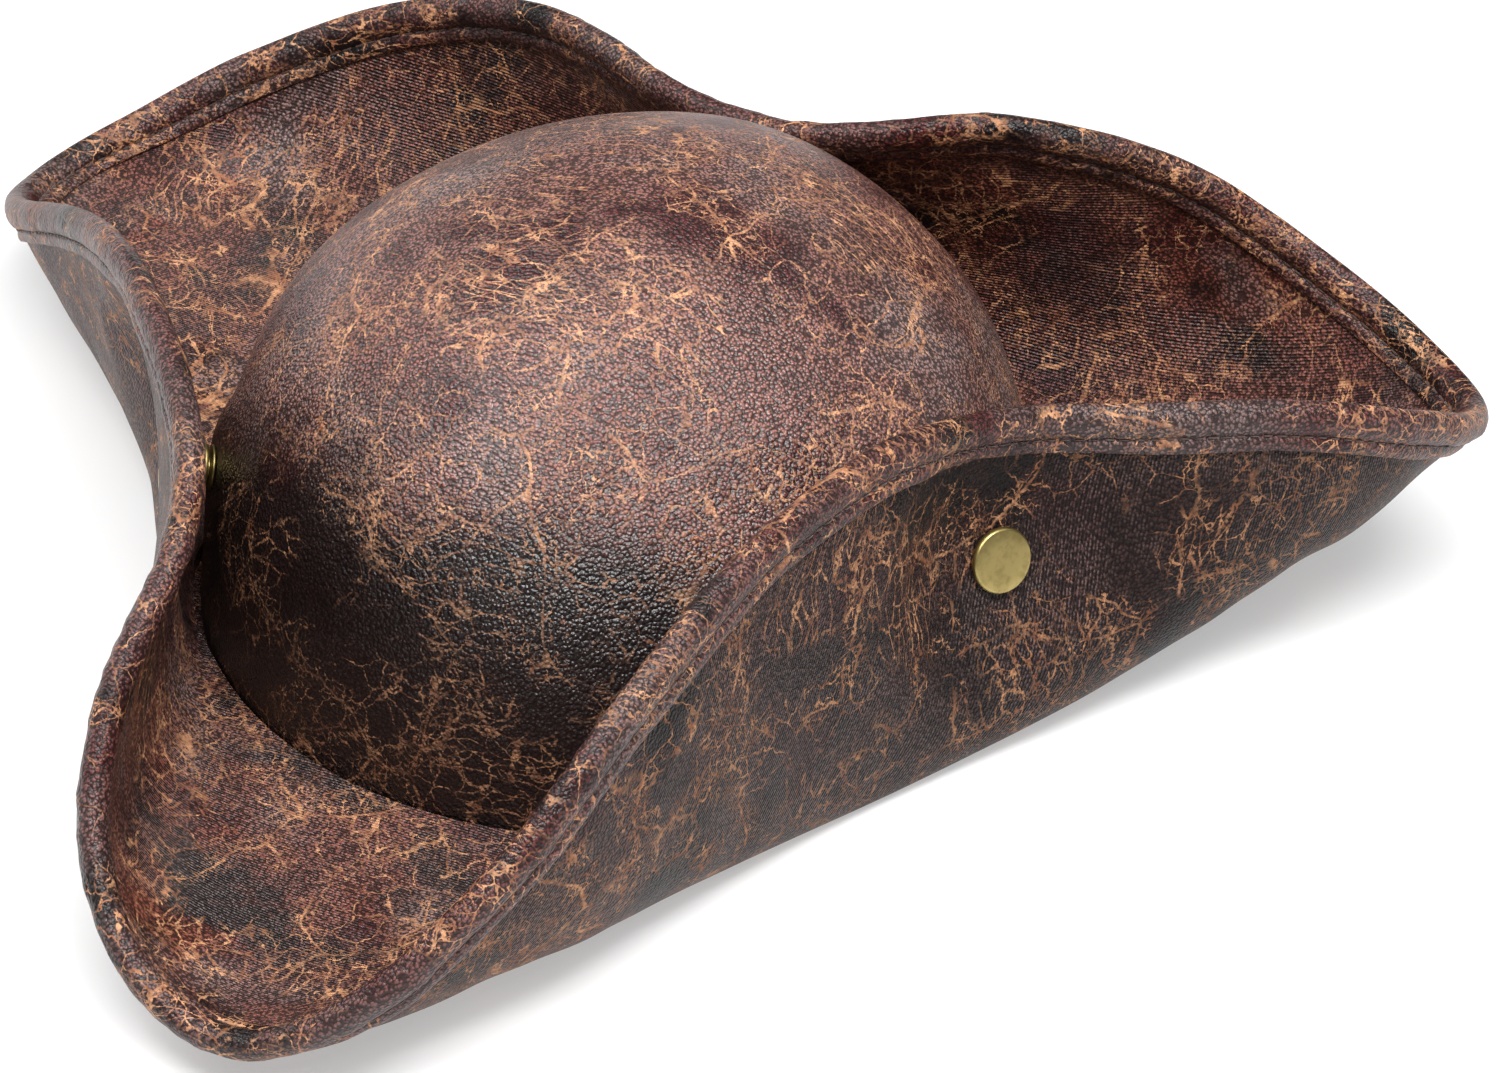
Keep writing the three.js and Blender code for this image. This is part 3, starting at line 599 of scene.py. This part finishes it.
def leather(name, slot, dye, run=(0.2, 1, 1), ribs=False, tan=0.0, shift=0.0, grain=1.0, gleam=0.3,
            dark=1.0, painted_shade=None):
    """Distressed faux leather: a dark film with a pebble grain and painted shade between the pebbles,
    cracked through to tan in thin broken lines that gather along wandering veins and in rubbed patches.
    dye is the film's main colour, run the squeeze of the streaks on each axis, ribs adds the knit
    backing, tan adds wear everywhere, shift moves the pattern, grain scales the pebbles' height, gleam
    is the specular level and dark the strength of the near-black patches. The last argument paints
    shade on the film and the tan towards one side: it is the direction away from that side, the
    distances along it in millimetres where the painted shade is full and gone, and its strength."""
    s = Shader(name, slot)
    place = s.vector("ADD", s.mm, (shift, -shift, shift * 0.6)) if shift else s.mm
    bent = s.warp(s.warp(place, 42, 15), 6.5, 1.5, 3)
    ragged = s.math("MULTIPLY", s.math("SUBTRACT", s.noise(0.9, 3, 0.65, at=place), 0.5), 0.8)

    def line(distance, width):
        """1 on a cell edge, ragged and this many millimetres wide."""
        return s.step(s.math("ADD", distance, ragged), width * 0.35, width, 1.0, 0.0)

    def zone(size, start, end, offset):
        return s.step(s.noise(size, 3, at=place, offset=offset), start, end)

    # Thin lines at four scales, each in its own zones; the finest gather along the widest.
    vein = s.cells(28, s.vector("MULTIPLY", bent, (1, 0.72, 0.8)))
    alive = zone(17, 0.43, 0.55, 31)
    beside = s.math("MULTIPLY", s.step(vein, 0.6, 4.6, 1.0, 0.0), alive)
    worn = s.math("MULTIPLY", line(vein, 0.34), alive)
    web = line(s.cells(7.6, s.warp(place, 7, 3.6, 3)), 0.2)
    worn = s.math("MAXIMUM", worn, s.math("MULTIPLY", web, zone(27, 0.45, 0.55, 77)))
    streak = line(s.cells(3.3, s.vector("MULTIPLY", bent, run)), 0.16)
    worn = s.math("MAXIMUM", worn, s.math("MULTIPLY", streak, zone(30, 0.5, 0.58, 170)))
    busy = s.math("MAXIMUM", beside, zone(23, 0.54, 0.67, 130))
    busy = s.step(s.math("ADD", busy, ragged), 0.3, 0.66)
    fine = line(s.cells(2.6, s.warp(place, 2.8, 1.5, 2)), 0.1)
    worn = s.math("MAXIMUM", worn, s.math("MULTIPLY", fine, busy))

    # Rubbed patches are specks between the pebbles.
    pebble = s.cells(0.85, s.warp(place, 1.3, 0.4), "F1")
    patch = s.step(s.noise(15, 4, 0.62, at=bent, offset=55), 0.5, 0.8, 0.0, 0.75)
    speck = s.step(s.math("ADD", s.math("ADD", patch, s.math("MULTIPLY", ragged, 2.2)), tan), 0.56, 0.86)
    worn = s.math("MAXIMUM", s.math("MULTIPLY", worn, s.step(ragged, -0.1, 0.06, 1.0, 0.75)), speck)

    # The film: red-brown with near-black, oxblood and greyed patches, with painted shade between the
    # pebbles.
    blackened = s.step(s.noise(30, 4, 0.6, at=place, offset=210), 0.48, 0.62, 0.0, dark)
    reddened = s.step(s.noise(26, 3, 0.6, at=place, offset=260), 0.5, 0.66)
    greyed = s.step(s.noise(44, 3, 0.6, at=place, offset=310), 0.5, 0.68)
    film = s.mix(blackened, rgb(*dye), NEAR_BLACK)
    film = s.mix(reddened, film, OXBLOOD)
    film = s.mix(greyed, film, rgb(dye[0], dye[0] * 0.8, dye[0] * 0.77))
    # Painted shade between the pebbles.
    pebble_shade = s.step(pebble, 0.2, 0.5, 0.0, 0.85)
    tone = s.mix(s.step(s.noise(4, 3, at=place, offset=400), 0.35, 0.65), DULL_TAN, BRIGHT_TAN)
    tone = s.mix(s.math("MULTIPLY", speck, 0.8), tone, SPECK_TAN)
    # Painted shade: the film and the tan lines darken towards one side.
    if painted_shade:
        away, full, gone, strength = painted_shade
        level = s.vector("DOT_PRODUCT", s.warp(s.mm, 30, 14), away)
        low = s.step(level, full, gone, strength, 0.0)
        film = s.mix(low, film, SHADED_FILM)
        tone = s.mix(s.math("MULTIPLY", low, 0.5), tone, SHADED_TAN)

    height = s.math("MULTIPLY", pebble, -0.34 * grain)
    height = s.math("ADD", height, s.math("MULTIPLY", ragged, 0.09 * grain))
    height = s.math("ADD", height, s.math("MULTIPLY", s.noise(7, 3, at=place, offset=20), 0.3))
    height = s.math("SUBTRACT", height, s.math("MULTIPLY", worn, 0.03))
    if ribs:
        split = s.add("ShaderNodeSeparateXYZ")
        s.put(split.inputs[0], s.uv)
        turns = s.math("MULTIPLY", split.outputs["Y"], 2 * math.pi / RIB_PITCH)
        rib = s.math("MULTIPLY", s.math("ADD", s.math("SINE", turns), 1), zone(52, 0.38, 0.52, 500))
        height = s.math("ADD", height, s.math("MULTIPLY", rib, 0.1))
        film = s.mix(s.math("MULTIPLY", rib, 0.3), film, RIB_GREY)
    shown = s.math("MULTIPLY", worn, s.step(s.noise(5, 3, at=place, offset=450), 0.36, 0.62, 0.45, 0.92))
    s.set(Base_Color=s.mix(shown, s.mix(pebble_shade, film, HOLLOW_SHADE), tone))
    s.bump(height)
    gloss = s.math("ADD", s.math("MULTIPLY", s.noise(9, 3, at=place, offset=600), 0.2), 0.25)
    s.set(Roughness=s.math("ADD", gloss, s.math("MULTIPLY", worn, 0.2)), Specular_IOR_Level=gleam)
    return s


def cloth(name, slot, color, pitch, rough):
    """A plain weave: two crossed sets of threads with slubs."""
    s = Shader(name, slot)
    split = s.add("ShaderNodeSeparateXYZ")
    s.put(split.inputs[0], s.warp(s.mm, 14, 0.4))
    turn = 2 * math.pi / pitch
    across = s.math("SINE", s.math("MULTIPLY", s.math("ADD", split.outputs["X"], split.outputs["Y"]), turn))
    up = s.math("SINE", s.math("MULTIPLY", split.outputs["Z"], turn))
    weave = s.math("MULTIPLY", across, up)
    slub = s.noise(5, 3)
    s.bump(s.math("ADD", s.math("MULTIPLY", weave, pitch * 0.09), s.math("MULTIPLY", slub, 0.4)))
    shade = s.math("ADD", s.math("MULTIPLY", weave, 0.18), s.math("MULTIPLY", slub, 0.9), clamp=True)
    s.set(Base_Color=s.mix(shade, darker(color, 0.55), color), Roughness=rough)
    s.set(Sheen_Weight=0.35, Sheen_Roughness=0.4)
    return s


def smooth_leather(name, slot, color):
    """The sweatband's plain leather: fine pores, soft creases, darker where a head has rubbed it."""
    s = Shader(name, slot)
    pores = s.cells(0.7, s.warp(s.mm, 1.1, 0.3), "F1")
    creases = s.cells(9, s.vector("MULTIPLY", s.warp(s.mm, 12, 6, 3), (1, 1, 0.45)))
    line = s.step(creases, 0.0, 0.5)
    s.bump(s.math("ADD", s.math("MULTIPLY", pores, -0.07), s.math("MULTIPLY", line, 0.05)))
    rubbed = s.step(s.noise(22, 4, 0.6), 0.35, 0.65)
    s.set(Base_Color=s.mix(rubbed, darker(color, 0.45), color))
    s.set(Roughness=s.math("ADD", s.math("MULTIPLY", s.noise(8, 3), 0.25), 0.33))
    return s


def metal(name, slot, bright, dull, rough):
    """Plated metal with fine rubbing marks and darker tarnish."""
    s = Shader(name, slot)
    marks = s.noise(0.5, 2, at=s.vector("MULTIPLY", s.mm, (1, 1, 0.12)))
    tarnish = s.step(s.noise(3.2, 4, 0.65), 0.42, 0.68, 0.0, 0.5)
    s.set(Base_Color=s.mix(tarnish, bright, dull), Metallic=1.0)
    gloss = s.math("ADD", s.math("MULTIPLY", tarnish, 0.2), rough)
    s.set(Roughness=s.math("ADD", s.math("MULTIPLY", marks, 0.12), gloss))
    s.bump(s.math("ADD", s.math("MULTIPLY", marks, 0.006), s.math("MULTIPLY", s.noise(2.2, 2), 0.02)))
    return s


def twisted_thread(name, slot, color):
    s = Shader(name, slot)
    fibre = s.noise(0.25, 3)
    s.set(Base_Color=s.mix(fibre, darker(color, 0.5), color), Roughness=0.62, Sheen_Weight=0.3)
    s.bump(s.math("MULTIPLY", fibre, 0.08))
    return s


TOP = leather("faux leather top", "faux_leather", (134, 74, 60), run=(0.8, 0.25, 0.4), ribs=True, shift=140)
# The underside's dye, darker than the top's, is painted shade on the flaps' outer faces.
UNDER = leather("faux leather underside", "faux_leather_underside", (94, 62, 55), run=(1, 1, 0.2), ribs=True,
                # Painted shade darkens the underside towards +X, over the right flap.
                grain=1.3, gleam=0.1, painted_shade=((-1, 0, 0), -110, -30, 0.8))
# Painted shade darkens the crown towards its lower front.
CROWN = leather("faux leather crown", "faux_leather", (140, 93, 84), shift=70, grain=1.3, gleam=0.6,
                dark=0.35, painted_shade=((0, 0.55, 1), 34, 60, 0.96))
BINDING = leather("faux leather binding", "edge_binding", (110, 72, 68), tan=-0.05, shift=35, grain=1.1)
LINING = cloth("lining cloth", "lining", rgb(40, 34, 30), 0.55, 0.6)
BAND = smooth_leather("sweatband leather", "sweatband", rgb(70, 46, 36))
BRASS = metal("antique brass", "brass", rgb(172, 154, 100), rgb(116, 100, 60), 0.32)
THREAD = twisted_thread("brown thread", "edge_binding", rgb(70, 44, 34))


# ---- Brim --------------------------------------------------------------------------------------
DEGREE_STEP = 0.5
BRIM_ROWS = 64
HINGE_ROWS = 41  # points sampled down a peak beside the hinge
BINDING_TIP = 4.4  # how far the binding reaches beyond the brim's raw edge
FLANGE_ROWS = 5


def sector_degrees(sector):
    count = int(abs(sector["peak"] - sector["middle"]) / DEGREE_STEP) + 1
    return np.linspace(sector["middle"], sector["peak"], count)


def hinge_blend(piece, sector):
    """Finds a hinge point at the middle of the flap and a level direction turned towards the peak,
    from the peak's points, then only bakes the piece's transform into its mesh."""
    middle = np.array([sector["middle"]], float)
    rim, crease = station(middle)
    foot = ellipse(middle, np.array([FOOT_GAP]), BASE_Z)
    across = np.cross((crease - foot)[0], (rim - crease)[0])
    away = unit(across * np.array([1, 1, 0]))  # level, along the crease
    start = np.array([crease[0, 0], crease[0, 1], HINGE_Z])
    shares = np.linspace(0, 1, HINGE_ROWS)
    peak = brim_point(np.full(HINGE_ROWS, float(sector["peak"])), shares, 0 * shares)
    tip = edge_point(np.array([float(sector["peak"])]), BINDING_TIP, 0.0)
    peak = np.concatenate([peak, tip])
    if ((peak[-1] - start) @ away) < 0:
        away = -away
    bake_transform(piece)


def cut_coordinates(deg, points):
    """Where each point lies on the flat cloth that the brim is cut from, in millimetres."""
    steps = np.linalg.norm(np.diff(points, axis=1), axis=-1)
    out = np.concatenate([np.zeros((len(deg), 1)), np.cumsum(steps, axis=1)], axis=1)
    a = np.radians(deg)[:, None]
    foot = ellipse(deg, 0 * deg, 0)[:, None, :]
    return np.stack([foot[..., 0] + np.sin(a) * out, foot[..., 1] - np.cos(a) * out], -1)


def brim_layer(sector, heights):
    """The degrees and the grids of points, one at each height, of one layer of a sector, from the
    crown's foot to the raw edge."""
    deg = sector_degrees(sector)
    share = np.linspace(0, 1, BRIM_ROWS) ** 0.9  # a little closer together towards the rim
    d, s = np.meshgrid(deg, share, indexing="ij")
    return deg, [brim_point(d, s, h * np.ones_like(d)) for h in heights]


def make_top(sector):
    deg, (upper, lower) = brim_layer(sector, (HALF_BRIM, CORE / 2 + LAYER_GAP))
    cut = cut_coordinates(deg, upper)
    piece = shell("brim_top_" + sector["name"], upper, lower, TOP.material, uv=cut)
    return piece


def make_under(sector):
    """The under skin with the interlining bonded to it, and its flat ring below the crown wall."""
    deg, (upper, lower) = brim_layer(sector, (CORE / 2, -HALF_BRIM))
    floor = BASE_Z - HALF_BRIM
    lower[..., 2] = np.maximum(lower[..., 2], floor)

    def flange(z):
        rings = np.linspace(-FLANGE_INSIDE, -FOOT_GAP, FLANGE_ROWS)
        return np.stack([ellipse(deg, grow + 0 * deg, z) for grow in rings], 1)

    upper[:, 0, 2] = floor + SKIN
    upper = np.concatenate([flange(floor + SKIN), upper], axis=1)
    lower = np.concatenate([flange(floor), lower], axis=1)
    cut = cut_coordinates(deg, lower)
    piece = shell("brim_under_" + sector["name"], lower, upper, UNDER.material, uv=cut)
    return piece


# The binding's face, from its raw edge on the brim round to the nose: millimetres beyond the
# brim's edge, and height. A second ridge, the stitch groove, then the bead.
BINDING_FACE = [
    (-7.0, 2.05), (-7.02, 2.5), (-6.75, 2.85), (-6.1, 3.0), (-5.3, 3.08), (-4.5, 3.02), (-3.9, 2.8),
    (-3.5, 2.5), (-3.2, 2.38), (-2.9, 2.5), (-2.45, 2.9), (-1.7, 3.2), (-0.7, 3.38), (0.4, 3.36),
    (1.4, 3.15), (2.4, 2.75), (3.3, 2.1), (3.95, 1.2), (4.28, 0.4),
]
GROOVE = (-3.2, 2.5)
BEAD_START = -2.6  # the bead lies beyond this
PUCKER_BOTTOM = 2.2  # puckers only where the face is at least this high
BINDING_INSIDE = 1.98  # half the height of the hollow inside the binding
INSIDE_REACH = 3.2  # how far the hollow goes beyond the brim's edge
NOSE_START = 2  # the hollow is lower beyond this
NOSE_SHARE = 0.7
RAW_EDGE = -6.9  # before this the hollow is moved on a little, apart from the face
RAW_GAP = 0.02
PUCKER_WAVES = make_waves(21, 10, 3.2, 9)
BINDING_STITCH = {"pitch": 3.3, "length": 2.5, "radius": 0.27}
GROOVE_POINTS = 900


def binding_puckers(deg, beyond):
    """Small gathers across the binding, deeper on the bead."""
    along = edge_point(deg, 0.0, 0 * deg)
    deep = 0.6 if beyond > BEAD_START else 0.35
    return deep * 0.26 * relief(along + beyond * 0.7, PUCKER_WAVES)


def make_binding(sector):
    deg = sector_degrees(sector)
    face = BINDING_FACE + [(b, -h) for b, h in BINDING_FACE[::-1]]
    outer, inner = [], []
    for beyond, height in face:
        wobble = binding_puckers(deg, beyond) * (1 if height > 0 else -1)
        outer.append(edge_point(deg, beyond, height + wobble * (abs(height) > PUCKER_BOTTOM)))
        depth = math.copysign(min(abs(height), BINDING_INSIDE), height)
        depth *= 1.0 if beyond < NOSE_START else NOSE_SHARE
        reach = min(beyond, INSIDE_REACH) + (RAW_GAP if beyond < RAW_EDGE else 0)
        inner.append(edge_point(deg, reach, depth))
    outer, inner = np.stack(outer, 1), np.stack(inner, 1)
    piece = shell("edge_binding_" + sector["name"], outer, inner, BINDING.material)
    return piece


def make_binding_stitches(sector):
    """A row of stitches in the groove on each face."""
    fine = np.linspace(sector["middle"], sector["peak"], GROOVE_POINTS)
    lines, ups = [], []
    for side in (1, -1):
        groove = edge_point(fine, GROOVE[0], side * GROOVE[1] * np.ones_like(fine))
        normal = brim_normal(fine, 1 + GROOVE[0] / rim_length(fine)) * side
        starts, ends, middles = spaced(groove, BINDING_STITCH["pitch"], BINDING_STITCH["length"])
        lines += list(zip(starts, ends))
        ups += list(normal[np.round(middles).astype(int)])
    radius = BINDING_STITCH["radius"]
    piece = thread("binding_stitches_" + sector["name"], lines, ups, radius, THREAD.material)
    return piece


def make_brim():
    peaks = {0: "front", 360: "front", 120: "tip_right", 240: "tip_left"}
    for sector in SECTORS:
        flap = "flap_" + sector["flap"]
        top, under = make_top(sector), make_under(sector)
        binding, stitches = make_binding(sector), make_binding_stitches(sector)
        for piece in (top, under, binding, stitches):
            hinge_blend(piece, sector)
        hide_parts(flap + "_top_skin", "brim_base_top_skin")
        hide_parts(flap + "_under_skin", flap + "_interlining",
                    "brim_base_under_skin", "brim_base_interlining")
        for region in (flap, peaks[sector["peak"]]):
            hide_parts("edge_binding_" + region, "edge_wire_" + region)


# ---- Crown, lining and sweatband ---------------------------------------------------------------
LINING_DEPTH = CROWN_SHELL + LAYER_GAP + CROWN_CORE + LAYER_GAP
CROWN_FOOT_Z = FOOT_Z - 0.2  # just above the under skin's ring
TIP_RISE = 0.02  # the top point above the last row


def dome_grids(columns, rows, depths):
    """A grid of points [column, row] and a top point at each depth below the crown's face. The rows
    gather towards the top."""
    deg = np.arange(columns) / columns * 360
    climb = np.sin(np.linspace(0.0, 1, rows) * math.pi / 2) ** 1.15 * 0.992
    d, c = np.meshgrid(deg, climb, indexing="ij")
    grids = []
    for depth in depths:
        points = crown_point(d, c, depth * np.ones_like(d))
        points[:, 0] = ellipse(deg, -depth * np.ones_like(deg), CROWN_FOOT_Z)
        grids.append(points)
    return grids, [grid[:, -1].mean(0) + np.array([0, 0, TIP_RISE]) for grid in grids]


def make_crown():
    (outer, inner), tops = dome_grids(288, 72, (0, CROWN_SHELL + LAYER_GAP + CROWN_CORE))
    crown = dome("crown", outer, inner, tops, CROWN.material)
    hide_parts("crown_shell", "crown_interlining")
    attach(crown, "hat")


# The seam of the lining's tip, a low ridge, and the small gathers below it.
SEAM_Z, SEAM_WIDTH, SEAM_HEIGHT = 74, 1.1, 0.9
GATHERS, GATHER_HEIGHT = 46, 0.35
GATHER_TOP, GATHER_BOTTOM = (72, 12), (34, 30)  # where they end, and over what height they fade
LINING_COLUMNS = 240
LINING_MIDDLE = (0, 0, 40.0)  # the ridge and the gathers stand out from here


def make_lining():
    depths = LINING_DEPTH, LINING_DEPTH + CROWN_LINING
    (outer, inner), tops = dome_grids(LINING_COLUMNS, 60, depths)
    turn = np.arange(LINING_COLUMNS) / LINING_COLUMNS * 2 * math.pi
    outwards = unit(inner - np.array(LINING_MIDDLE))
    rise = inner[..., 2]
    seam = np.exp(-(((rise - SEAM_Z) / SEAM_WIDTH) ** 2)) * SEAM_HEIGHT
    gather = GATHER_HEIGHT * np.sin(turn * GATHERS)[:, None] * smooth((GATHER_TOP[0] - rise) / GATHER_TOP[1])
    gather = gather * smooth((rise - GATHER_BOTTOM[0]) / GATHER_BOTTOM[1])
    inner -= outwards * (seam + gather)[..., None]
    lining = dome("crown_lining_cloth", outer, inner, tops, LINING.material)
    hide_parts("crown_lining")
    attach(lining, "hat")


BAND_DEPTH = LINING_DEPTH + CROWN_LINING + LAYER_GAP
BAND_ROWS = 22
BAND_STITCH = {"pitch": 3.6, "length": 2.6, "radius": 0.28, "lift": 0.05}
BAND_STITCH_ROWS = (0.88, 0.1)  # below the rolled top edge, and low down where it is sewn to the brim


def band_lean(t):
    """How far the band stands in from the lining at this share of its height."""
    return 0.2 + 2.6 * t**1.6


def band_wave(deg, t):
    """The band's soft waves, which grow towards its top edge."""
    return 0.25 * np.sin(np.radians(deg) * 9 + 5 * t) * t


def make_sweatband():
    """A leather band standing inside the lining, rolled at its top edge, joined at the back."""
    deg = np.linspace(0, 360, 361)[:-1]
    faces = []
    for thick in (0, SWEATBAND):
        rings = []
        for t in np.linspace(0, 1, BAND_ROWS):
            roll = 0.5 * math.exp(-(((t - 0.96) / 0.05) ** 2)) * (1 if thick else 0)
            join = 0.35 * np.exp(-(((deg - 180) / 1.6) ** 2)) * (1 if thick else 0)
            grow = -(BAND_DEPTH + thick + band_lean(t)) - roll - join + band_wave(deg, t)
            rings.append(ellipse(deg, grow, FOOT_Z + SWEATBAND_HEIGHT * t))
        faces.append(np.stack(rings, 1))
    band = shell("sweatband_leather", faces[0], faces[1], BAND.material, closed=True)
    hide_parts("sweatband")
    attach(band, "hat")

    # Its stitches, in two rows on its inner face.
    lines, ups = [], []
    fine = np.linspace(0, 360, 1800)
    for t in BAND_STITCH_ROWS:
        grow = -(BAND_DEPTH + SWEATBAND + band_lean(t)) + band_wave(fine, t) - BAND_STITCH["lift"]
        row = ellipse(fine, grow, FOOT_Z + SWEATBAND_HEIGHT * t)
        inward = unit(row * np.array([-1, -1, 0]))
        starts, ends, middles = spaced(row, BAND_STITCH["pitch"], BAND_STITCH["length"])
        lines += list(zip(starts, ends))
        ups += list(inward[np.round(middles).astype(int)])
    stitches = thread("sweatband_stitches", lines, ups, BAND_STITCH["radius"], THREAD.material)
    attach(stitches, "hat")


# ---- Snaps -------------------------------------------------------------------------------------
# Heights along a snap's axis from the brim's middle surface, and outlines of [radius, height].
CAP_FOOT = HALF_BRIM + LAYER_GAP
SOCKET_TOP = -HALF_BRIM - LAYER_GAP
CROWN_FACE = -SNAP_REACH
POST_HEAD = CROWN_FACE - (LINING_DEPTH + CROWN_LINING) - LAYER_GAP
SNAP_PROFILES = {
    "cap": [
        (0, CAP_FOOT + 1.9), (4.5, CAP_FOOT + 1.88), (7.05, CAP_FOOT + 1.72), (7.5, CAP_FOOT + 1.0),
        (7.35, CAP_FOOT + 0.1), (7.0, CAP_FOOT), (1.9, CAP_FOOT), (1.9, SOCKET_TOP - 1.2),
        (0, SOCKET_TOP - 1.2),
    ],
    "socket": [
        (2.3, SOCKET_TOP), (5.2, SOCKET_TOP), (5.8, SOCKET_TOP - 0.8), (5.4, SOCKET_TOP - 2.2),
        (5.5, SOCKET_TOP - 2.8), (5.2, SOCKET_TOP - 3.4), (3.4, SOCKET_TOP - 3.4),
        (3.4, SOCKET_TOP - 0.9), (2.3, SOCKET_TOP - 0.9),
    ],
    "stud": [
        (0, SOCKET_TOP - 1.8), (2.2, SOCKET_TOP - 1.8), (2.8, SOCKET_TOP - 2.4), (2.6, CROWN_FACE + 1.1),
        (5.2, CROWN_FACE + 0.9), (5.2, CROWN_FACE + 0.3), (1.9, CROWN_FACE + 0.3), (1.9, CROWN_FACE + 1.9),
        (0, CROWN_FACE + 1.9),
    ],
    "post": [
        (0, CROWN_FACE + 1.6), (1.6, CROWN_FACE + 1.6), (1.6, POST_HEAD), (5.0, POST_HEAD),
        (5.0, POST_HEAD - 0.6), (4.2, POST_HEAD - 1.0), (0, POST_HEAD - 1.0),
    ],
}
SNAP_CORNER = {"cap": 0.7, "socket": 0.3, "stud": 0.3, "post": 0.3}


def make_snaps():
    for name, snap in SNAPS.items():
        for part, profile in SNAP_PROFILES.items():
            shape = rounded(profile, SNAP_CORNER[part])
            piece = turned(f"snap_{name}_{part}_brass", shape, snap, BRASS.material)
            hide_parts(f"snap_{name}_{part}")
            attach(piece, "flap_" + name if part in ("cap", "socket") else "hat")


# ---- Stage: floor, light and camera ------------------------------------------------------------
# The photo's camera, from a scratch fit of the hat's outline to the photo.
CAMERA_TARGET = ORIGIN + np.array([37.26, -17.82, 35.41]) * MM
CAMERA_DISTANCE = 1.501
CAMERA_AZIMUTH, CAMERA_ELEVATION, CAMERA_ROLL = 19.75, 33.48, 4.44
CAMERA_LENS = 163.3
FLOOR_HALF = 6.0  # metres
FLOOR_GAP = 0.0002  # keeps the floor from lying in the same plane as the brim's underside
FLOOR_SHADE = 0.55
FLOOR_GLOW = 0.42  # the floor's own light, which keeps its shadows pale
WORLD_LIGHT = 0.12
# Name, place, target, size and watts, in metres.
LIGHTS = [
    ("overhead", (0.35, -0.25, 1.45), (0, 0, 0.04), (2.0, 1.6), 21),
    ("strip", (0.34, -0.46, 1.3), (0, 0, 0.04), (1.3, 0.22), 26),
    ("fill", (-1.0, 0.1, 0.9), (0, 0, 0.06), (0.9, 0.7), 9),
]


def make_camera():
    data = bpy.data.cameras.new("camera")
    data.lens = CAMERA_LENS
    data.sensor_width = 36
    camera = bpy.data.objects.new("camera", data)
    turn, roll = math.radians(CAMERA_AZIMUTH), math.radians(CAMERA_ROLL)
    back = Vector(direction(CAMERA_AZIMUTH, CAMERA_ELEVATION))
    right = Vector((math.cos(turn), math.sin(turn), 0))
    up = back.cross(right)
    turned_right = right * math.cos(roll) + up * math.sin(roll)
    turned_up = up * math.cos(roll) - right * math.sin(roll)
    rotation = Matrix((turned_right, turned_up, back)).transposed()
    place = Vector(CAMERA_TARGET) + back * CAMERA_DISTANCE
    camera.matrix_world = Matrix.Translation(place) @ rotation.to_4x4()
    bpy.context.scene.collection.objects.link(camera)
    bpy.context.scene.camera = camera


def make_light(name, place, target, size, power):
    data = bpy.data.lights.new(name, "AREA")
    data.shape = "RECTANGLE"
    data.size, data.size_y = size
    data.energy = power
    light = bpy.data.objects.new(name, data)
    light.location = place
    light.rotation_euler = (Vector(target) - Vector(place)).to_track_quat("-Z", "Y").to_euler()
    bpy.context.scene.collection.objects.link(light)


def make_stage():
    world = bpy.data.worlds.new("studio")
    world.use_nodes = True
    background = world.node_tree.nodes["Background"]
    background.inputs["Color"].default_value = (1, 1, 1, 1)
    background.inputs["Strength"].default_value = WORLD_LIGHT
    bpy.context.scene.world = world
    bpy.context.scene.view_settings.view_transform = "Standard"

    mesh = bpy.data.meshes.new("floor")
    corners = [(-1, -1), (1, -1), (1, 1), (-1, 1)]
    mesh.from_pydata([(x * FLOOR_HALF, y * FLOOR_HALF, 0) for x, y in corners], [], [(0, 1, 2, 3)])
    floor = bpy.data.objects.new("floor", mesh)
    floor.location.z = -FLOOR_GAP
    bpy.context.scene.collection.objects.link(floor)
    paper = Shader("white paper", None)
    paper.set(Base_Color=(FLOOR_SHADE, FLOOR_SHADE, FLOOR_SHADE, 1), Roughness=0.7)
    paper.set(Emission_Color=(1, 1, 1, 1), Emission_Strength=FLOOR_GLOW)
    paper.bump(paper.math("MULTIPLY", paper.noise(1.2, 3), 0.01))
    mesh.materials.append(paper.material)

    for light in LIGHTS:
        make_light(*light)


make_camera()
make_stage()
make_brim()
make_crown()
make_lining()
make_sweatband()
make_snaps()
